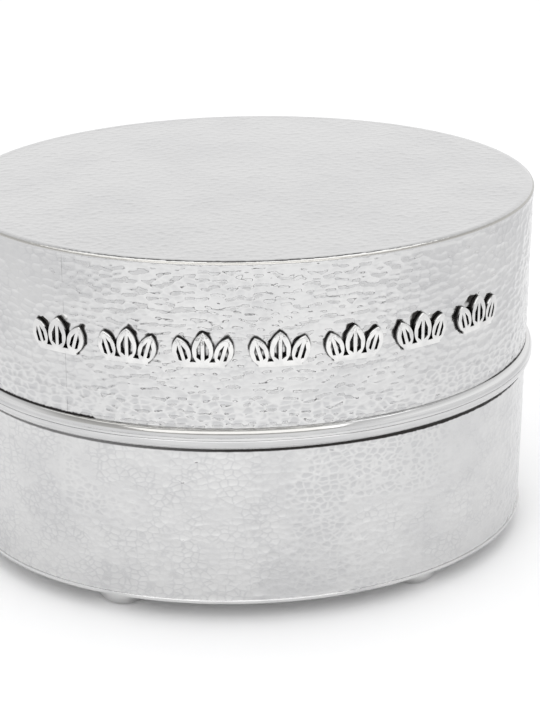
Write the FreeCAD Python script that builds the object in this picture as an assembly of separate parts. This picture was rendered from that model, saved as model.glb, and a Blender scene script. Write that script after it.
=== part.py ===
import FreeCAD
import Part

import math
import os

from FreeCAD import Placement, Rotation, Vector

os.makedirs("parts", exist_ok=True)

# Driving sizes, in millimetres and degrees. X runs along the box, -Y is its front, +Z is up,
# and Z is 0 on the surface that the feet stand on.

# The oval body, measured outside the walls.
half_length = 70.0
half_width = 56.0
base_height = 42.45      # underside of the base plate to the seam
lid_height = 42.45       # seam to the top of the lid
wall_thickness = 0.8
top_thickness = 1.0
top_edge_width = 1.6     # of the lid's rounded edge, seen from above
top_edge_drop = 0.7
plate_thickness = 0.9
plate_lip = 0.35         # how far the base plate's edge stands proud of the wall
seam_gap = 0.15          # running gap between lid and base when closed

# The two rim wires that make the bead, one on each side of the seam.
rim_height = 2.45
rim_depth = 1.5

# The lip inside the mouth that the lid closes over.
collar_rise = 2.5
collar_depth = 6.0
collar_thickness = 0.7
collar_clearance = 0.3

# The turned feet.
foot_radius = 6.0
foot_height = 5.0
foot_inset = 8.8         # foot's centre to the outside of the wall
foot_angle = 55.0        # round the oval, from the X axis

# The hinge at the back.
hinge_length = 30.0
knuckle_count = 5
knuckle_radius = 1.4
knuckle_gap = 0.2
hinge_running_gap = 0.2  # knuckle to whatever it turns past
pin_radius = 0.55
pin_clearance = 0.05

# The openwork plates on the lid's front, each a spray of three pierced leaves.
spray_count = 7
spray_pitch = 17.0       # between centres, along the wall
spray_rise = 1.1         # how far a plate stands off the wall
spray_drop = 16.3        # top of the lid to the tip of the middle leaf
middle_leaf_height = 8.2
middle_leaf_width = 4.6
side_leaf_height = 7.2
side_leaf_width = 4.0
side_leaf_offset = 3.7
side_leaf_lean = 16.0
leaf_waist = 0.42        # where a leaf is widest, as a share of its height
leaf_border = 0.95
midrib_width = 0.8
opening_rise = 1.7       # a leaf's stem to the foot of its openings
opening_drop = 1.7       # a leaf's tip to the head of its openings
opening_shoulder = 1.0   # how far an opening stays wide, each way from the waist
tie_bar_height = 1.3
tie_bar_length = 9.8

# Heights that follow from the sizes above.
plate_bottom = foot_height
plate_top = plate_bottom + plate_thickness
seam = plate_bottom + base_height
lid_bottom = seam + seam_gap
lid_top = seam + lid_height
top_underside = lid_top - top_thickness
spray_bottom = lid_top - spray_drop - middle_leaf_height

# The hinge's axis runs along X at the middle of the seam gap, just outside the walls.
hinge_y = half_width + hinge_running_gap + knuckle_radius
hinge_z = seam + seam_gap / 2


def oval_curve(inset, height):
    """Ellipse that lies inside the outside of the walls by inset."""
    return Part.Ellipse(Vector(0, 0, height), half_length - inset, half_width - inset)


def oval_block(inset, bottom, top):
    face = Part.Face(Part.Wire(oval_curve(inset, bottom).toShape()))
    return face.extrude(Vector(0, 0, top - bottom))


def oval_ring(outer_inset, inner_inset, bottom, top):
    reach = top - bottom
    hollow = oval_block(inner_inset, bottom - reach, top + reach)
    return oval_block(outer_inset, bottom, top).cut(hollow)


def oval_stack(levels):
    """Solid through a stack of ovals, each given as its inset and its height."""
    outlines = [Part.Wire(oval_curve(inset, height).toShape()) for inset, height in levels]
    return Part.makeLoft(outlines, True, True)


def quarter_round(steps):
    """Points of a quarter circle of radius 1, from (1, 0) to (0, 1)."""
    turns = [math.pi / 2 * step / steps for step in range(steps + 1)]
    return [(math.cos(turn), math.sin(turn)) for turn in turns]


def box_between(low, high):
    size = high - low
    return Part.makeBox(size.x, size.y, size.z, low)


def bar_along_x(radius, start, end):
    """Round bar on the hinge's axis."""
    return Part.makeCylinder(radius, end - start, Vector(start, hinge_y, hinge_z), Vector(1, 0, 0))


def half_bead_points():
    """Section of a rim wire, each point given as its distances from the wall and the seam: flat
    on the seam, with a quarter-oval outside."""
    return [(rim_depth * out, rim_height * up) for out, up in quarter_round(3)]


def rim(seat, side):
    """Rim wire on the wall, flat at height seat, with a break at the back for the hinge. side is
    1 for the lid's rim, above the seam, and -1 for the base's."""
    wire = oval_stack([(-out, seat + side * up) for out, up in half_bead_points()])
    reach = 2 * rim_height
    wire = wire.cut(oval_block(0, seat - reach, seat + reach))
    half_break = hinge_length / 2 + knuckle_gap
    hinge_break = box_between(
        Vector(-half_break, 0, seat - reach),
        Vector(half_break, half_width + 2 * rim_depth, seat + reach),
    )
    return wire.cut(hinge_break).Solids[0]


def hinge_half(knuckles, others, seat, side):
    """A straight strip with the bead's section, seated on the wall, and its knuckles."""
    half = hinge_length / 2
    face_y = hinge_y - rim_depth
    corners = [(face_y - rim_depth, 0)]
    corners += [(face_y + out, up) for out, up in half_bead_points()]
    corners += [(face_y - rim_depth, rim_height), (face_y - rim_depth, 0)]
    section = Part.makePolygon([Vector(-half, y, seat + side * up) for y, up in corners])
    strip = Part.Face(section).extrude(Vector(hinge_length, 0, 0))
    for start, end in others:
        clearance = bar_along_x(
            knuckle_radius + hinge_running_gap, start - knuckle_gap, end + knuckle_gap
        )
        strip = strip.cut(clearance)
    for start, end in knuckles:
        strip = strip.fuse(bar_along_x(knuckle_radius, start, end))
    seat_on_wall = oval_block(0, seat - 2 * rim_height, seat + 2 * rim_height)
    return strip.cut(seat_on_wall).removeSplitter()


def foot(centre_x, centre_y):
    """Low turned foot, flat above and below."""
    return Part.makeCylinder(foot_radius, foot_height, Vector(centre_x, centre_y, 0))


def arc_edge(start, middle, end):
    return Part.Arc(Vector(*start, 0), Vector(*middle, 0), Vector(*end, 0)).toShape()


def line_edge(start, end):
    return Part.makeLine(Vector(*start, 0), Vector(*end, 0))


def cut_out(edges, thickness):
    """Solid with the given closed outline in the XY plane, thickness deep along +Z."""
    return Part.Face(Part.Wire(edges)).extrude(Vector(0, 0, thickness))


def leaf(height, width, thickness):
    """Pierced pointed leaf, stem at the origin and tip along +Y: an almond of metal with a sawn
    four-cornered opening on each side of its midrib."""
    waist = leaf_waist * height
    right = arc_edge((0, 0), (width / 2, waist), (0, height))
    left = arc_edge((0, height), (-width / 2, waist), (0, 0))
    metal = cut_out([right, left], thickness)
    low = opening_rise
    high = height - opening_drop
    for side in (1, -1):
        rib_x = side * midrib_width / 2
        border_x = side * (width / 2 - leaf_border)
        corners = [
            (rib_x, low),
            (border_x, waist - opening_shoulder),
            (border_x, waist + opening_shoulder),
            (rib_x, high),
        ]
        opening = [line_edge(corners[index - 1], corners[index]) for index in range(4)]
        metal = metal.cut(cut_out(opening, thickness))
    return metal


def spray_block(thickness):
    """Three leaves fanned above a tie bar."""
    bar_corner = Vector(-tie_bar_length / 2, 0, 0)
    tie_bar = Part.makeBox(tie_bar_length, tie_bar_height, thickness, bar_corner)
    block = leaf(middle_leaf_height, middle_leaf_width, thickness).fuse(tie_bar)
    for side in (1, -1):
        side_leaf = leaf(side_leaf_height, side_leaf_width, thickness)
        side_leaf.rotate(Vector(0, 0, 0), Vector(0, 0, 1), -side * side_leaf_lean)
        side_leaf.translate(Vector(side * side_leaf_offset, 0, 0))
        block = block.fuse(side_leaf)
    return block.removeSplitter()


def spray(distance):
    """One plate on the lid's front. distance runs along the wall from the middle of the front,
    to the right. The flat spray is pushed through the wall's curve and cut to its thickness."""
    wall_curve = oval_curve(0, 0)
    front = 1.5 * math.pi
    position = wall_curve.parameterAtDistance(distance, front)
    point = wall_curve.value(position)
    along = wall_curve.tangent(position)[0]
    outward = along.cross(Vector(0, 0, 1)).normalize()
    depth = 4 * spray_rise
    block = spray_block(2 * depth)
    block.translate(Vector(0, 0, -depth))
    turn = Rotation(along, Vector(0, 0, 1), outward, "ZXY")
    block.Placement = Placement(point + Vector(0, 0, spray_bottom), turn).multiply(block.Placement)
    shell = oval_ring(-spray_rise, 0, lid_bottom, lid_top)
    return block.common(shell).Solids[0]


def save(name, solid):
    solid.exportStep(f"parts/{name}.step")


# The base, from the ground up.
foot_x = (half_length - foot_inset) * math.cos(math.radians(foot_angle))
foot_y = (half_width - foot_inset) * math.sin(math.radians(foot_angle))
save("foot_front_right", foot(foot_x, -foot_y))
save("foot_front_left", foot(-foot_x, -foot_y))
save("foot_back_right", foot(foot_x, foot_y))
save("foot_back_left", foot(-foot_x, foot_y))

save("base_plate", oval_block(-plate_lip, plate_bottom, plate_top))
save("base_wall", oval_ring(0, wall_thickness, plate_top, seam))
save("base_rim", rim(seam, -1))

collar_outer = wall_thickness + collar_clearance
collar_inner = collar_outer + collar_thickness
collar = oval_ring(wall_thickness, collar_inner, seam - collar_depth, seam).fuse(
    oval_ring(collar_outer, collar_inner, seam, seam + collar_rise)
)
save("inner_collar", collar.removeSplitter())

# The hinge: knuckles alternate, and the base has the outer two.
knuckle_pitch = hinge_length / knuckle_count
knuckle_starts = [index * knuckle_pitch - hinge_length / 2 for index in range(knuckle_count)]
knuckle_spans = [
    (start + knuckle_gap / 2, start + knuckle_pitch - knuckle_gap / 2) for start in knuckle_starts
]
base_knuckles = knuckle_spans[0::2]
lid_knuckles = knuckle_spans[1::2]
pin = bar_along_x(pin_radius, -hinge_length / 2, hinge_length / 2)
lid_bore = bar_along_x(pin_radius + pin_clearance, -hinge_length / 2, hinge_length / 2)
save("base_hinge", hinge_half(base_knuckles, lid_knuckles, seam, -1).cut(pin))
save("lid_hinge", hinge_half(lid_knuckles, base_knuckles, lid_bottom, 1).cut(lid_bore))
save("hinge_pin", pin)

# The lid.
save("lid_rim", rim(lid_bottom, 1))
save("lid_wall", oval_ring(0, wall_thickness, lid_bottom, top_underside))
top_edge = [
    (top_edge_width * (1 - out), lid_top - top_edge_drop * (1 - up)) for out, up in quarter_round(2)
]
save("lid_top_plate", oval_stack([(0, top_underside)] + top_edge))
for index in range(spray_count):
    distance = (index - (spray_count - 1) / 2) * spray_pitch
    save(f"frieze_plate_{index + 1}", spray(distance))
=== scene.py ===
import math

import bmesh
import bpy
import numpy as np
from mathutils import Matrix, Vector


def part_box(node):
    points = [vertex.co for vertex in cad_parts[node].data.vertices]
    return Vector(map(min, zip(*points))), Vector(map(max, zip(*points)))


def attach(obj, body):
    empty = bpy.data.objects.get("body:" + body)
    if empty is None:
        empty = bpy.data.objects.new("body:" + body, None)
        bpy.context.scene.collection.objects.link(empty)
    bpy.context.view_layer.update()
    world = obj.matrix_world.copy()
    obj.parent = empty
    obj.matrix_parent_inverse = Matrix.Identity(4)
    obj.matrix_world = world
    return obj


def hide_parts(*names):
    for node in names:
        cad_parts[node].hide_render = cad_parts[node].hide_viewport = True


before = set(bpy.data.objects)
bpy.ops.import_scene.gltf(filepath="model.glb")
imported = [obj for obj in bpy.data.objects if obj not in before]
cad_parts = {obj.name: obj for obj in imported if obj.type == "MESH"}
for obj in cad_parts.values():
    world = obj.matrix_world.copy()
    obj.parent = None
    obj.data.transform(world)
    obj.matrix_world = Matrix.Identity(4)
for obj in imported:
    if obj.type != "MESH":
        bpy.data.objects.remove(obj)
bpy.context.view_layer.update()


# Base plate.
# A flat oval of sheet silver closes the bottom. It stands a little proud of the wall that is
# soldered on it, and its edge is filed round. The polished silver is shared by all plain parts.
mm = 0.001
wall_low, wall_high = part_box("base_wall")
half_length = wall_high.x
half_width = wall_high.y
oval_steps = 720
plate_low, plate_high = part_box("base_plate")
plate_lip = plate_high.x - half_length
plate_ease = 0.22 * mm       # radius of the filed edge
silver = (0.69, 0.689, 0.685, 1)
worn_silver = (0.58, 0.581, 0.585, 1)
wear_size = 11 * mm
scratch_size = 0.4 * mm
scratch_depth = 0.004 * mm


class Socket:
    """A socket in a node tree. Arithmetic on it adds Math nodes, and node() adds any other."""

    def __init__(self, tree, link=None):
        self.tree = tree
        self.link = link

    def node(self, kind, settings=None, sockets=None, take=0):
        """Adds a node, with its settings first, and returns the output that is taken from it."""
        node = self.tree.nodes.new(kind)
        for name, value in (settings or {}).items():
            setattr(node, name, value)
        for key, value in (sockets or {}).items():
            if isinstance(value, Socket):
                self.tree.links.new(value.link, node.inputs[key])
            else:
                node.inputs[key].default_value = value
        return Socket(self.tree, node.outputs[take] if len(node.outputs) else None)

    def math(self, operation, *values):
        return self.node("ShaderNodeMath", {"operation": operation}, dict(enumerate(values)))

    def __add__(self, other):
        return self.math("ADD", self, other)

    def __sub__(self, other):
        return self.math("SUBTRACT", self, other)

    def __rsub__(self, other):
        return self.math("SUBTRACT", other, self)

    def __mul__(self, other):
        return self.math("MULTIPLY", self, other)

    def __rtruediv__(self, other):
        return self.math("DIVIDE", other, self)

    def __abs__(self):
        return self.math("ABSOLUTE", self)

    __radd__ = __add__
    __rmul__ = __mul__

    def larger(self, other):
        return self.math("MAXIMUM", self, other)

    def step(self, low, high):
        """0 where the value is at low, 1 where it is at high, and smooth between."""
        sockets = {0: self, 1: low, 2: high}
        return self.node("ShaderNodeMapRange", {"interpolation_type": "SMOOTHSTEP"}, sockets)

    def mix(self, first, second):
        """The first colour where this is 0 and the second where it is 1."""
        sockets = {0: self, 6: first, 7: second}
        return self.node("ShaderNodeMix", {"data_type": "RGBA"}, sockets, take=2)

    def bump(self, distance, strength=1.0):
        """A normal for the surface that this height raises."""
        sockets = {"Strength": strength, "Distance": distance, "Height": self}
        return self.node("ShaderNodeBump", sockets=sockets)

    def vector(self, operation, other, take=0):
        sockets = {0: self, 1: other}
        return self.node("ShaderNodeVectorMath", {"operation": operation}, sockets, take)

    def scaled(self, factor):
        """This vector, longer by a factor."""
        sockets = {0: self, "Scale": factor}
        return self.node("ShaderNodeVectorMath", {"operation": "SCALE"}, sockets)

    def along(self, axis):
        """This vector's part along the axis X, Y or Z."""
        return self.node("ShaderNodeSeparateXYZ", sockets={0: self}, take=axis)

    def noise(self, size, detail=2.0, take=0):
        """Clouds of the given size that lie about this place."""
        sockets = {"Vector": self, "Scale": 1 / size, "Detail": detail}
        return self.node("ShaderNodeTexNoise", sockets=sockets, take=take)

    def attribute(self, name):
        """What the mesh stores under a name."""
        return self.node("ShaderNodeAttribute", {"attribute_name": name}, take="Fac")


def new_surface(name):
    """A new material, and the Object coordinates that its node tree starts from."""
    material = bpy.data.materials.new(name)
    material.use_nodes = True
    material.node_tree.nodes.clear()
    return material, Socket(material.node_tree).node("ShaderNodeTexCoord", take="Object")


def close_surface(place, kind, sockets):
    shader = place.node(kind, sockets=sockets)
    place.node("ShaderNodeOutputMaterial", sockets={"Surface": shader})


def close_as_metal(place, colour, roughness, normal):
    sockets = {"Base Color": colour, "Metallic": 1.0, "Roughness": roughness, "Normal": normal}
    close_surface(place, "ShaderNodeBsdfPrincipled", sockets)


def polished_silver():
    """Buffed silver with faint cloudy wear and very fine scratches."""
    material, place = new_surface("polished silver")
    wear = place.noise(wear_size, 3.0)
    scratches = place.noise(scratch_size)
    colour = wear.step(0.4, 0.75).mix(silver, worn_silver)
    close_as_metal(place, colour, wear * 0.1 + 0.06, scratches.bump(scratch_depth, 0.3))
    return material


def oval(turn, out=0.0):
    """Point at an angle from +X on the outside of the walls, moved out from it."""
    return (half_length + out) * math.cos(turn), (half_width + out) * math.sin(turn)


def even_turns(count):
    """Angles of points that lie evenly along the oval, from +X and round."""
    fine = np.linspace(0, 2 * math.pi, 20 * count + 1)
    steps = np.hypot(half_length * np.sin(fine), half_width * np.cos(fine))
    length = np.concatenate([[0], np.cumsum((steps[1:] + steps[:-1]) / 2)])
    return np.interp(np.linspace(0, length[-1], count, endpoint=False), length, fine)


def oval_outline(turns, out, height):
    return [(*oval(turn, out), height) for turn in turns]


def quarter_round(steps):
    """Points of a quarter circle of radius 1, from (1, 0) to (0, 1)."""
    turns = [math.pi / 2 * step / steps for step in range(steps + 1)]
    return [(math.cos(turn), math.sin(turn)) for turn in turns]


def new_piece(name, points, faces):
    """A mesh object at the origin, with its faces turned outwards."""
    mesh = bpy.data.meshes.new(name)
    mesh.from_pydata([tuple(point) for point in points], [], faces)
    shell = bmesh.new()
    shell.from_mesh(mesh)
    bmesh.ops.recalc_face_normals(shell, faces=shell.faces)
    shell.to_mesh(mesh)
    shell.free()
    piece = bpy.data.objects.new(name, mesh)
    bpy.context.scene.collection.objects.link(piece)
    return piece


def stacked(name, outlines, capped=True):
    """A closed shell through a stack of closed outlines with equally many points. It is capped
    flat at both ends, or else its last outline is joined to its first."""
    count = len(outlines[0])
    points = [point for outline in outlines for point in outline]
    last = len(points) - count
    faces = [tuple(range(count)), tuple(range(last, len(points)))] if capped else []
    for low in range(0, last if capped else len(points), count):
        high = (low + count) % len(points)
        for step in range(count):
            beside = (step + 1) % count
            faces.append((low + step, low + beside, high + beside, high + step))
    return new_piece(name, points, faces)


def finish_piece(piece, material, body, node):
    """Dresses a piece in smooth silver with crisp corners and puts it in its node's place."""
    piece.data.materials.clear()
    piece.data.materials.append(material)
    piece.data.shade_smooth()
    piece.data.set_sharp_from_angle(angle=math.radians(40))
    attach(piece, body)
    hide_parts(node)


polished = polished_silver()
oval_turns = even_turns(oval_steps)
plate_corner = [(plate_ease * (1 - out), plate_ease * (1 - up)) for out, up in quarter_round(4)]
plate_edge = [(plate_lip - inward, plate_low.z + rise) for inward, rise in plate_corner[::-1]]
plate_edge += [(plate_lip - inward, plate_high.z - drop) for inward, drop in plate_corner]
base_plate = stacked(
    "base_plate_sheet", [oval_outline(oval_turns, out, height) for out, height in plate_edge]
)
finish_piece(base_plate, polished, "base", "base_plate")


# Feet.
# Four low turned discs of solid silver are soldered under the plate, near its edge. Their lower
# corner is turned well round and the underside is flat.
foot_steps = 96
foot_round = 2.2 * mm
foot_turns = [2 * math.pi * step / foot_steps for step in range(foot_steps)]
for node in ("foot_front_left", "foot_front_right", "foot_back_left", "foot_back_right"):
    foot_low, foot_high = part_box(node)
    foot_radius = (foot_high.x - foot_low.x) / 2
    foot_x = (foot_low.x + foot_high.x) / 2
    foot_y = (foot_low.y + foot_high.y) / 2
    foot_side = [
        (foot_radius - foot_round * (1 - out), foot_round * (1 - up))
        for out, up in quarter_round(10)[::-1]
    ]
    foot_side.append((foot_radius, foot_high.z))
    foot_outlines = [
        [
            (foot_x + out * math.cos(turn), foot_y + out * math.sin(turn), height)
            for turn in foot_turns
        ]
        for out, height in foot_side
    ]
    foot = stacked(node + "_turned", foot_outlines)
    finish_piece(foot, polished, "base", node)


# Base wall.
# A strip of sheet silver is bent to the oval and planished all over with a domed hammer: each
# blow leaves a shallow dish, and the dishes meet in fine ridges. It stands on the plate.
base_marks = {"size": 1.6 * mm, "depth": 1.0, "spread": (0.8, 0.8, 1.12)}
mark_depth = 0.165 * mm      # of marks whose depth is given as 1
mark_bump = 0.09 * mm        # the part of it that the surface's bump repeats
mark_margin = 0.8 * mm       # over which the marks fade out next to an edge
swell_size = 14 * mm
swell_depth = 0.10 * mm
wall_thickness = 0.8 * mm
wall_columns = 840
wall_rows = 112
base_rim_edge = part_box("base_rim")[0].z
# Black of oxide and solder, also painted as shade in the crevices by the bead and round the
# sprays.
oxide_and_shade = (0.03, 0.028, 0.027, 1)
# Painted: a darker cream tone that dims the highlight on the top plate's round.
cream_highlight_dimming = (0.50, 0.49, 0.465, 1)
grain_size = 1.1 * mm
patch_size = 22 * mm         # of tarnish in the hollows, between tarnish on the ridges
worn_size = 6 * mm
haze_size = 17 * mm
net_wander = 16 * mm         # how far the white net's border wanders up and down
base_tarnish = 0.8           # how strongly it shows, up to 1
base_solder_and_shade_line = (0.85 * mm, 1.2 * mm)   # its narrow and its full width, of solder and painted crevice shade
crumb_size = 0.7 * mm


def mark_distance(place, size, spread, feature="SMOOTH_F1"):
    """How far a place lies from the nearest hammer blow, in marks, or with DISTANCE_TO_EDGE from
    the nearest ridge. The blows are scattered by the spread, closer together up the wall than
    along it."""
    drift = place.noise(2 * size, take="Color").vector("SUBTRACT", (0.5, 0.5, 0.5)).scaled(size)
    moved = place.vector("ADD", drift).vector("MULTIPLY", spread)
    settings = {"voronoi_dimensions": "3D", "feature": feature}
    sockets = {"Vector": moved, "Scale": 1 / size, "Randomness": 0.8}
    if feature == "SMOOTH_F1":
        sockets["Smoothness"] = 0.2
    return place.node("ShaderNodeTexVoronoi", settings, sockets, take="Distance")


def hammered_sheet_tree():
    """Geometry nodes that sink a hammer mark round each of the scattered blows, where the
    sheet's attribute "hammered" allows it, and store how far the leaf sprays are."""
    tree = bpy.data.node_groups.new("hammered sheet", "GeometryNodeTree")
    inputs = {
        "Geometry": "NodeSocketGeometry",
        "Mark size": "NodeSocketFloat",
        "Mark depth": "NodeSocketFloat",
        "Mark spread": "NodeSocketVector",
        "Swell size": "NodeSocketFloat",
        "Swell depth": "NodeSocketFloat",
        "Sprays": "NodeSocketObject",
        "Finish": "NodeSocketMaterial",
    }
    for name, kind in inputs.items():
        tree.interface.new_socket(name, in_out="INPUT", socket_type=kind)
    tree.interface.new_socket("Geometry", in_out="OUTPUT", socket_type="NodeSocketGeometry")
    start = Socket(tree)
    given = {name: start.node("NodeGroupInput", take=name) for name in inputs}
    place = start.node("GeometryNodeInputPosition")
    normal = start.node("GeometryNodeInputNormal")
    allowed = start.node(
        "GeometryNodeInputNamedAttribute", {"data_type": "FLOAT"}, {"Name": "hammered"}
    )
    distance = mark_distance(place, given["Mark size"], given["Mark spread"])
    marks = (distance * distance - 0.7) * given["Mark depth"]
    swells = (place.noise(given["Swell size"], 1.0) - 0.75) * given["Swell depth"]
    offset = normal.scaled((marks + swells) * allowed)
    moved = start.node(
        "GeometryNodeSetPosition", sockets={"Geometry": given["Geometry"], "Offset": offset}
    )
    sprays = start.node(
        "GeometryNodeObjectInfo", sockets={"Object": given["Sprays"]}, take="Geometry"
    )
    reach = start.node(
        "GeometryNodeProximity", {"target_element": "FACES"}, {0: sprays}, take="Distance"
    )
    marked = start.node(
        "GeometryNodeStoreNamedAttribute",
        {"data_type": "FLOAT", "domain": "POINT"},
        {"Geometry": moved, "Name": "spray_distance", "Value": reach},
    )
    realized = start.node("GeometryNodeRealizeInstances", sockets={"Geometry": marked})
    finished = start.node(
        "GeometryNodeSetMaterial", sockets={"Geometry": realized, "Material": given["Finish"]}
    )
    start.node("NodeGroupOutput", sockets={"Geometry": finished})
    return tree


hammered_sheet = hammered_sheet_tree()


def made_plain(piece):
    """Turns the piece with its modifiers into a plain mesh and removes the modifiers."""
    graph = bpy.context.evaluated_depsgraph_get()
    graph.update()
    mesh = bpy.data.meshes.new_from_object(piece.evaluated_get(graph), depsgraph=graph)
    piece.modifiers.clear()
    piece.data = mesh
    return piece


def hammered(piece, material, size, depth, spread, sprays=None):
    """Sinks the marks into a piece that is still smooth."""
    modifier = piece.modifiers.new("hammered sheet", "NODES")
    modifier.node_group = hammered_sheet
    values = {
        "Mark size": size,
        "Mark depth": mark_depth * depth,
        "Mark spread": spread,
        "Swell size": swell_size,
        "Swell depth": swell_depth * depth,
        "Sprays": sprays,
        "Finish": material,
    }
    for item in hammered_sheet.interface.items_tree:
        if item.in_out == "INPUT" and item.name in values:
            modifier[item.identifier] = values[item.name]
    return made_plain(piece)


def set_attribute(piece, name, values):
    piece.data.attributes.new(name, "FLOAT", "POINT").data.foreach_set("value", values)


def oval_wall(name, bottom, top, marks_bottom, marks_top, strength=None):
    """The strip as a closed shell: a fine grid outside, which carries the marks between two
    heights, and a plain inside. strength(x, height) is their depth over the wall."""
    turns = even_turns(wall_columns)
    outlines = [oval_outline(turns, 0.0, height) for height in np.linspace(bottom, top, wall_rows)]
    outlines += [oval_outline(turns, -wall_thickness, height) for height in (top, bottom)]
    wall = stacked(name, outlines, capped=False)
    x, _, height = np.array(outlines).reshape(-1, 3).T
    outside = np.arange(len(height)) < wall_rows * wall_columns
    edge = np.minimum(height - marks_bottom, marks_top - height) / mark_margin
    marked = np.clip(edge, 0, 1) * outside
    if strength:
        marked = marked * strength(x, height)
    set_attribute(wall, "hammered", marked)
    set_attribute(wall, "outside", outside * 1.0)
    return wall


def hammered_silver(name, tarnish, size, depth, spread, black_and_shaded=None, netted=None, highlight_dimmed=None):
    """Planished silver. Its bump repeats the dishes with sharper ridges, and tarnish lies in the
    hollows in some places and along the ridges in others. netted(x, height) says where the
    ridges stand out as a clear white net, blackened(place) where the silver is black with solder,
    oxidised metal and painted shade, and filmed(place) where it is painted darker and cream to
    dim a highlight."""
    material, place = new_surface(name)
    distance = mark_distance(place, size, spread)
    grain = place.noise(grain_size)
    cloud = place.noise(patch_size, 3.0)
    net = 0.0
    if netted:
        net = netted(place.along("X"), place.along("Z") + (cloud - 0.5) * net_wander)
    patch = cloud.step(0.5, 0.62).larger(net)
    from_ridge = mark_distance(place, size, spread, "DISTANCE_TO_EDGE")
    hollows = from_ridge.step(0.04, 0.24) * patch
    ridges = (1 - from_ridge.step(0.0, 0.17)) * (1 - patch)
    worn = (place.noise(worn_size).step(0.34, 0.58) * 0.7 + 0.3).larger(net * 0.9)
    haze = place.noise(haze_size).step(0.36, 0.7) * (1 - net * 0.7)
    dull = (hollows * 0.8 + ridges) * worn * (tarnish + net * 0.65)
    dull = dull + haze * (0.22 + 0.35 * tarnish)
    colour = dull.mix(silver, worn_silver)
    roughness = dull * 0.06 + 0.06
    # Black solder, oxide and painted shade in the crevices and round the sprays.
    if black_and_shaded:
        black = black_and_shaded(place)
        colour = black.mix(colour, oxide_and_shade)
        roughness = roughness + black * 0.35
    # Painted shade over a highlight: darker and cream where a lamp is mirrored.
    if highlight_dimmed:
        highlight_dimming = highlight_dimmed(place)
        colour = highlight_dimming.mix(colour, cream_highlight_dimming)
        roughness = roughness + highlight_dimming * 0.1
    relief = distance * distance + grain * 0.04
    close_as_metal(place, colour, roughness, relief.bump(mark_bump * depth))
    return material


def solder_and_shade_line(place, rim_edge, side, width, widened):
    """Black solder next to the rim wire's edge, with painted shade of the crevice there, on the
    wall above it for side 1 and below it for -1. It is ragged and widens to its second width where
    the widening mask is 1."""
    narrow_width, full_width = width
    crumbs = (place.noise(crumb_size) - 0.5) * (widened * 0.4 + 0.1) * mm
    reach = narrow_width + widened * (full_width - narrow_width) + crumbs
    bare = ((place.along("Z") - rim_edge) * side - reach).step(-0.2 * mm, 0.12 * mm)
    return (1 - bare) * place.attribute("outside")


def base_black_and_shade(place):
    """The solder line, with painted crevice shade, is black at the right, and thinner and greyer
    at the left.
    """
    x = place.along("X")
    widened = x.step(8 * mm, 40 * mm)
    line = solder_and_shade_line(place, base_rim_edge, -1, base_solder_and_shade_line, widened)
    return line * (x.step(-50 * mm, -5 * mm) * 0.25 + 0.75)


def base_net(x, height):
    """The net is clear on the upper half, from the middle to the right."""
    across = x.step(-6 * mm, 10 * mm) * (1 - x.step(32 * mm, 54 * mm) * 0.7)
    return across * height.step(22 * mm, 30 * mm) * 0.9


base_wall = oval_wall("base_wall_hammered", wall_low.z, wall_high.z, wall_low.z, base_rim_edge)
base_silver = hammered_silver(
    "hammered silver, base", base_tarnish, **base_marks, black_and_shaded=base_black_and_shade, netted=base_net
)
base_wall = hammered(base_wall, base_silver, **base_marks)
finish_piece(base_wall, base_silver, "base", "base_wall")


# Rim wires.
# A half-oval wire with streaks from drawing is soldered round the mouth of the base and of the
# lid. Together they make the bead, with the seam as a fine line at its middle and black in its
# outer corners, painted as crevice shade with oxide, and both stop at the back for the hinge.
rim_ease = 0.06 * mm         # radius of the edge at the seam
rim_seat = 0.3 * mm          # how far the wire is let into the wall
rim_clearance = 0.2 * mm     # from its end to the hinge's strip
rim_seam_drop = 0.05 * mm    # each wire's part in closing the seam's gap to a hairline
streak_size = 0.5 * mm
streak_depth = 0.03 * mm
cloud_size = 18 * mm
black_wander = 0.5 * mm      # how unevenly the painted black shade reaches into the corners
black_fade = 0.3 * mm
lid_black_shift = 0.25 * mm  # how much further out the lid's corner turns black
lid_band = 1.45 * mm         # height of the band below it, painted darker at the left and brighter at the right
# Painted colours for the lid's upper band: darker cream to dim the highlight, brighter silver as a
# highlight.
bead_highlight_dimming = (0.43, 0.425, 0.41, 1)
painted_highlight_silver = (0.76, 0.76, 0.755, 1)


def drawn_silver(name, corner_height, side):
    """Silver with streaks along the wire. The lid's has side 1, and on its upper band a darker
    cream tone is painted over the highlight at the left and brighter silver as a highlight at the
    right."""
    material, place = new_surface(name)
    streaks = place.vector("MULTIPLY", (0.04, 0.04, 1)).noise(streak_size, 3.0)
    cloud = place.noise(cloud_size)
    height = place.along("Z")
    # The corners against the wall are painted black as crevice shade, with oxide.
    from_corner = (corner_height - height) * side + (cloud - 0.5) * black_wander
    black = 1 - from_corner.step(0.0, black_fade)
    tone = (streaks.step(0.35, 0.7) * 0.6 + cloud * 0.3).mix(silver, worn_silver)
    if side > 0:
        x = place.along("X")
        # Painted: a darker cream tone dims the softbox's highlight at the left of the upper band,
        # and brighter silver paints a highlight at the right.
        upper = (height - corner_height + lid_band).step(0.0, black_fade)
        highlight_dimmed = x.step(-58 * mm, -44 * mm) * (1 - x.step(6 * mm, 22 * mm))
        tone = (upper * highlight_dimmed).mix(tone, bead_highlight_dimming)
        tone = (upper * x.step(16 * mm, 34 * mm)).mix(tone, painted_highlight_silver)
    colour = black.mix(tone, oxide_and_shade)
    close_as_metal(place, colour, streaks * 0.12 + 0.04, streaks.bump(streak_depth, 0.5))
    return material


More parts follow.
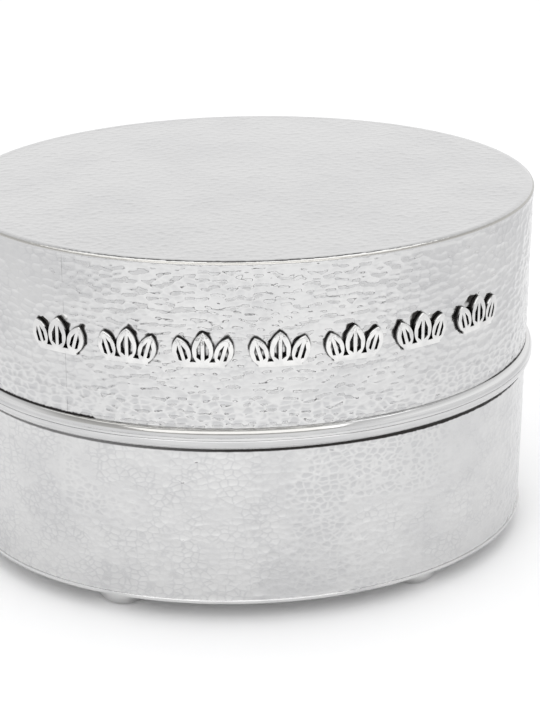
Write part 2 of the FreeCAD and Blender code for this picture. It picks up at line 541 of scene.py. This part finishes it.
def rim_wire(name, node, body, side):
    """The wire round a mouth. It rises from the seam for side 1 and goes down from it for -1."""
    low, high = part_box(node)
    seat = low.z if side > 0 else high.z
    depth = high.x - half_length
    height = high.z - low.z
    section = [(-rim_seat, 0.0)]
    section += [
        (depth - rim_ease * (1 - out), rim_ease * (1 - up)) for out, up in quarter_round(4)[::-1]
    ]
    section += [
        (depth * out, rim_ease + (height - rim_ease) * up) for out, up in quarter_round(14)[1:]
    ]
    section += [(-rim_seat, height)]
    half_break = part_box("lid_hinge")[1].x + rim_clearance
    break_turn = math.asin(half_break / half_length)
    turns = np.linspace(math.pi / 2 + break_turn, 5 * math.pi / 2 - break_turn, oval_steps)
    seam = seat - side * rim_seam_drop
    outlines = [
        [(*oval(turn, out), seam if up == 0 else seat + side * up) for out, up in section]
        for turn in turns
    ]
    corner_height = seat + side * (height + (lid_black_shift if side > 0 else 0))
    drawn = drawn_silver(name + " silver", corner_height, side)
    finish_piece(stacked(name, outlines), drawn, body, node)


rim_wire("base_rim_wire", "base_rim", "base", -1)
rim_wire("lid_rim_wire", "lid_rim", "lid", 1)


# Inner collar.
# A band of sheet silver is soldered inside the mouth of the base, and its upper part stands up
# inside the lid and centres it.
collar_low, collar_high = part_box("inner_collar")
collar_mouth = wall_high.z
collar_gap = 0.3 * mm
collar_thickness = 0.7 * mm
collar_ease = 0.15 * mm
collar_outer = -wall_thickness - collar_gap
collar_inner = collar_outer - collar_thickness
collar_section = [
    (-wall_thickness, collar_low.z),
    (-wall_thickness, collar_mouth),
    (collar_outer, collar_mouth),
    (collar_outer, collar_high.z - collar_ease),
    (collar_outer - collar_ease, collar_high.z),
    (collar_inner + collar_ease, collar_high.z),
    (collar_inner, collar_high.z - collar_ease),
    (collar_inner, collar_low.z + collar_ease),
    (collar_inner + collar_ease, collar_low.z),
]
collar_outlines = [
    [(*oval(turn, out), height) for out, height in collar_section] for turn in oval_turns
]
collar = stacked("inner_collar_band", collar_outlines, capped=False)
finish_piece(collar, polished, "base", "inner_collar")


# Lid wall.
# A hammered strip like the base's, with larger and deeper marks. Its ends meet in an upright
# soldered joint at the front left, and the ground behind the leaf sprays is painted black as
# shade, with oxide.
lid_marks = {"size": 1.85 * mm, "depth": 1.42, "spread": (0.73, 0.73, 1.17)}
lid_tarnish = 0.55
lid_solder_and_shade_line = (0.08 * mm, 0.5 * mm)   # narrow and full width, as on the base
deeper_below = 0.45          # how much deeper the marks are at the wall's foot
faint_left = 0.55            # how much shallower they are at the far left
faint_from = 38 * mm         # to the left of the middle
faint_reach = 18 * mm
ragged_size = 3.8 * mm
shaded_ground_reach = 0.5 * mm      # how far the ground's painted black shade goes round a spray
joint_turn = math.radians(-132)
joint_along = np.array(
    [-half_length * math.sin(joint_turn), half_width * math.cos(joint_turn), 0.0]
)
joint_along /= np.linalg.norm(joint_along)
joint_place = float(np.dot(joint_along, (*oval(joint_turn), 0.0)))
lid_low, lid_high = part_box("lid_wall")
lid_rim_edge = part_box("lid_rim")[1].z


def lid_strength(x, height):
    """The marks are deeper down the wall and fainter at the left."""
    down = np.clip((lid_high.z - height) / (lid_high.z - lid_rim_edge), 0, 1)
    leftward = np.clip((-x - faint_from) / faint_reach, 0, 1)
    return (1 + deeper_below * down) * (1 - faint_left * leftward)


def lid_black_and_shade(place):
    """The solder line with painted crevice shade, the upright joint, and the ground behind the
    sprays, painted black as shade and oxidised.
    """
    x = place.along("X")
    outside = place.attribute("outside")
    ragged = place.noise(ragged_size)
    widened = 1 - x.step(-41.5 * mm, -40.5 * mm) * (1 - x.step(48 * mm, 60 * mm))
    line = solder_and_shade_line(place, lid_rim_edge, 1, lid_solder_and_shade_line, widened)
    across_joint = place.vector("DOT_PRODUCT", tuple(joint_along), take="Value") - joint_place
    in_front = 1 - place.along("Y").step(-0.01, 0.0)
    joint = (1 - abs(across_joint).step(0.03 * mm, 0.12 * mm)) * in_front
    joint = joint * ragged.step(0.4, 0.7) * outside * 0.4
    # Painted shade with oxide: the ground goes black close to the sprays and under them.
    from_sprays = place.attribute("spray_distance") + (ragged - 0.5) * (0.3 * mm)
    ground = (1 - from_sprays.step(0.1 * mm, shaded_ground_reach)) * outside
    return line.larger(joint).larger(ground)


def lid_net(x, height):
    """The net is clear round the lower part."""
    return 1 - height.step(56 * mm, 61 * mm)


spray_nodes = sorted(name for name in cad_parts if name.startswith("frieze_plate"))
footprint = bmesh.new()
for node in spray_nodes:
    footprint.from_mesh(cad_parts[node].data)
footprint_mesh = bpy.data.meshes.new("spray footprint")
footprint.to_mesh(footprint_mesh)
footprint.free()
spray_footprint = bpy.data.objects.new("spray footprint", footprint_mesh)
bpy.context.scene.collection.objects.link(spray_footprint)

lid_wall = oval_wall(
    "lid_wall_hammered", lid_low.z, lid_high.z, lid_rim_edge, lid_high.z, lid_strength
)
lid_silver = hammered_silver(
    "hammered silver, lid", lid_tarnish, **lid_marks, black_and_shaded=lid_black_and_shade, netted=lid_net
)
lid_wall = hammered(lid_wall, lid_silver, **lid_marks, sprays=spray_footprint)
bpy.data.objects.remove(spray_footprint)
finish_piece(lid_wall, lid_silver, "lid", "lid_wall")


# Lid top plate.
# A flat oval of hammered sheet closes the lid. Its outer edge is filed round and buffed, so a
# narrow plain border runs outside the marks, and the round is painted darker and cream where it
# mirrors the front softbox, as painted shade over that highlight.
top_marks = {"size": 1.25 * mm, "depth": 0.55, "spread": base_marks["spread"]}
top_tarnish = 0.25
top_cells = 280
top_round = 1.6 * mm         # its width seen from above
top_drop = 0.7 * mm
top_border = 0.9 * mm
top_low, top_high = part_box("lid_top_plate")
top_field = (half_length - top_round, half_width - top_round)


def on_disc(across, up):
    """Moves a point of the square from -1 to 1 onto the unit disc, with even cells."""
    return across * math.sqrt(1 - up * up / 2), up * math.sqrt(1 - across * across / 2)


# Painted shade over a highlight: the part of the round that mirrors the front softbox is darker
# and cream.
def top_highlight_dimming(place):
    drop = top_high.z - place.along("Z")
    return drop.step(0.16 * mm, 0.3 * mm) * (1 - drop.step(0.6 * mm, 0.7 * mm))


grid_lines = np.linspace(-1, 1, top_cells + 1)
top_points = []
for up in grid_lines:
    for across in grid_lines:
        disc_x, disc_y = on_disc(across, up)
        top_points.append((disc_x * top_field[0], disc_y * top_field[1], top_high.z))
row = top_cells + 1
top_faces = [
    (low + step, low + step + 1, low + row + step + 1, low + row + step)
    for low in range(0, top_cells * row, row)
    for step in range(top_cells)
]

# The round goes on from the grid's border, which runs along its four sides in turn.
border = list(range(top_cells))
border += [step * row + top_cells for step in range(top_cells)]
border += [top_cells * row + step for step in range(top_cells, 0, -1)]
border += [step * row for step in range(top_cells, 0, -1)]
top_turns = [
    math.atan2(top_points[index][1] / top_field[1], top_points[index][0] / top_field[0])
    for index in border
]
top_edge = [
    (-top_round * (1 - out), top_high.z - top_drop * (1 - up))
    for out, up in quarter_round(12)[-2::-1]
]
for out, height in top_edge + [(0.0, top_low.z)]:
    ring = list(range(len(top_points), len(top_points) + len(top_turns)))
    top_points += oval_outline(top_turns, out, height)
    for step in range(len(ring)):
        beside = (step + 1) % len(ring)
        top_faces.append((border[step], ring[step], ring[beside], border[beside]))
    border = ring
top_faces.append(tuple(border))
lid_top = new_piece("lid_top_hammered", top_points, top_faces)

top_x, top_y, _ = np.array(top_points).T
inset = 1 - np.hypot(top_x / top_field[0], top_y / top_field[1])
on_top = np.arange(len(top_points)) < row * row
set_attribute(lid_top, "hammered", np.clip(inset * half_width / top_border, 0, 1) * on_top)
top_silver = hammered_silver("hammered silver, top", top_tarnish, **top_marks, highlight_dimmed=top_highlight_dimming)
lid_top = hammered(lid_top, top_silver, **top_marks)
finish_piece(lid_top, top_silver, "lid", "lid_top_plate")


# Leaf sprays.
# Seven openwork plates are sawn from sheet, bent to the oval and soldered on the lid's front.
# Their faces are buffed bright, and their sides and openings are black, oxidised and painted as
# shade.
spray_bevel = 0.26 * mm
weld_distance = 0.002 * mm
dent_size = 2.4 * mm
dent_depth = 0.1 * mm
buffed_silver = (0.80, 0.797, 0.785, 1)


def bevelled_copy(name, node, width, segments):
    """A welded copy of a CAD node with its sharp edges rounded."""
    piece = bpy.data.objects.new(name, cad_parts[node].data.copy())
    bpy.context.scene.collection.objects.link(piece)
    shell = bmesh.new()
    shell.from_mesh(piece.data)
    bmesh.ops.remove_doubles(shell, verts=shell.verts, dist=weld_distance)
    bmesh.ops.dissolve_limit(
        shell, angle_limit=math.radians(1), verts=shell.verts, edges=shell.edges
    )
    shell.to_mesh(piece.data)
    shell.free()
    bevel = piece.modifiers.new("rounded edges", "BEVEL")
    bevel.width = width
    bevel.segments = segments
    bevel.limit_method = "ANGLE"
    bevel.angle_limit = math.radians(40)
    return made_plain(piece)


def spray_silver():
    """Bright on the faces and black below them, down to the wall: oxidised and painted shade."""
    material, place = new_surface("spray silver")
    dents = place.noise(dent_size, 3.0)
    # Painted shade with oxide: the sides go black towards the wall, under the bright faces.
    black = 1 - (place.attribute("rise") + (dents - 0.5) * 0.15).step(0.45, 0.95)
    bright = dents.step(0.4, 0.7).mix(buffed_silver, silver)
    colour = black.mix(bright, oxide_and_shade)
    close_as_metal(place, colour, black * 0.3 + 0.1, dents.bump(dent_depth))
    return material


spray_finish = spray_silver()
for node in spray_nodes:
    spray = bevelled_copy(node + "_buffed", node, spray_bevel, 3)
    spray_x, spray_y, _ = np.array([vertex.co for vertex in spray.data.vertices]).T
    off_wall = np.hypot(spray_x / half_length, spray_y / half_width) - 1
    set_attribute(spray, "rise", off_wall / off_wall.max())
    finish_piece(spray, spray_finish, "lid", node)


# Hinge.
# Two strips with the bead's section carry five tube knuckles, and a round wire pin runs through
# them. The strips are soldered to the walls at the back.
hinge_bevel = 0.08 * mm
for node, body in (("base_hinge", "base"), ("lid_hinge", "lid"), ("hinge_pin", "base")):
    hinge_part = bevelled_copy(node + "_finished", node, hinge_bevel, 2)
    finish_piece(hinge_part, polished, body, node)


# Floor, light and camera.
# A plain white floor stands under a white sky, with two softboxes above. The silver alone sees
# two thin black cards in front, a grey one behind and pale paper on the floor.
floor_white = (0.97, 0.97, 0.97, 1)
paper_shade = (0.80, 0.80, 0.805, 1)
sky_low = (1.0, 1.0, 1.005, 1)
sky_high = (0.72, 0.72, 0.725, 1)


def matt_paint(name, colour):
    material, place = new_surface(name)
    close_surface(place, "ShaderNodeBsdfDiffuse", {"Color": colour})
    return material


def flat_square(name, half, height):
    corners = [(-half, -half), (half, -half), (half, half), (-half, half)]
    return new_piece(name, [(*corner, height) for corner in corners], [(0, 1, 2, 3)])


floor = flat_square("floor", 6, 0)
floor.data.materials.append(matt_paint("white floor", floor_white))

world = bpy.data.worlds.new("white sky")
world.use_nodes = True
world.node_tree.nodes.clear()
sky = Socket(world.node_tree)
upward = sky.node("ShaderNodeTexCoord", take="Generated").along("Z")
sky_colour = upward.step(0.3, 0.8).mix(sky_low, sky_high)
background = sky.node("ShaderNodeBackground", sockets={"Color": sky_colour})
sky.node("ShaderNodeOutputWorld", sockets={"Surface": background})
bpy.context.scene.world = world


def softbox(name, width, depth, energy, place, tilt):
    lamp = bpy.data.lights.new(name, "AREA")
    lamp.shape = "RECTANGLE"
    lamp.size = width
    lamp.size_y = depth
    lamp.energy = energy
    light = bpy.data.objects.new(name, lamp)
    light.location = place
    light.rotation_euler = (math.radians(tilt), 0, 0)
    bpy.context.scene.collection.objects.link(light)


softbox("upper_softbox", width=1.4, depth=0.8, energy=3.6, place=(0.0, 0.2, 1.2), tilt=0)
softbox("front_softbox", width=1.3, depth=0.7, energy=4.3, place=(-0.1, -0.75, 0.95), tilt=40)


def only_mirrored(piece, paint):
    piece.data.materials.append(paint)
    piece.visible_camera = False
    piece.visible_diffuse = False
    piece.visible_shadow = False


def card(name, paint, radius, low, high, centre, reach, steps=24):
    """A card bent round the object and cut to a low arch. It spans reach degrees to each side
    of its centre."""
    turns = [math.radians(centre + reach * (2 * step / steps - 1)) for step in range(steps + 1)]
    points = [(radius * math.cos(turn), radius * math.sin(turn), low) for turn in turns]
    for index, turn in enumerate(turns):
        height = low + (high - low) * math.sin(math.pi * index / steps)
        points.append((radius * math.cos(turn), radius * math.sin(turn), height))
    faces = [(step, step + 1, steps + 2 + step, steps + 1 + step) for step in range(steps)]
    only_mirrored(new_piece(name, points, faces), paint)


black_paint = matt_paint("black card", (0.06, 0.06, 0.06, 1))
grey_paint = matt_paint("grey card", (0.15, 0.15, 0.15, 1))
card("front_card", black_paint, radius=0.38, low=0.0, high=0.0105, centre=-97, reach=65)
card("middle_card", black_paint, radius=0.52, low=0.27, high=0.285, centre=-97, reach=60)
card("back_card", grey_paint, radius=0.30, low=0.40, high=1.0, centre=83, reach=30)

# The paper is darker to both sides, and darker next to the object as a painted shadow.
paper_paint, paper_place = new_surface("pale paper")
paper_x = paper_place.along("X")
aside = (paper_x * paper_x).step(0.1 ** 2, 0.24 ** 2)
# Painted shadow of the object on the paper, darker close to it.
painted_object_shadow = paper_place.along("Y").step(-0.2, -0.09)
paper_colour = aside.larger(painted_object_shadow * 0.4).mix(floor_white, paper_shade)
close_surface(paper_place, "ShaderNodeBsdfDiffuse", {"Color": paper_colour})
only_mirrored(flat_square("paper", 0.8, 0.0004), paper_paint)

camera = bpy.data.cameras.new("camera")
camera.lens = 101.5
camera.sensor_width = 36.0
camera_object = bpy.data.objects.new("camera", camera)
camera_object.location = (-0.0596, -0.4649, 0.2443)
camera_object.rotation_euler = (math.radians(66.721), 0, math.radians(-7.994))
bpy.context.scene.collection.objects.link(camera_object)
bpy.context.scene.camera = camera_object
bpy.context.scene.view_settings.view_transform = "Standard"
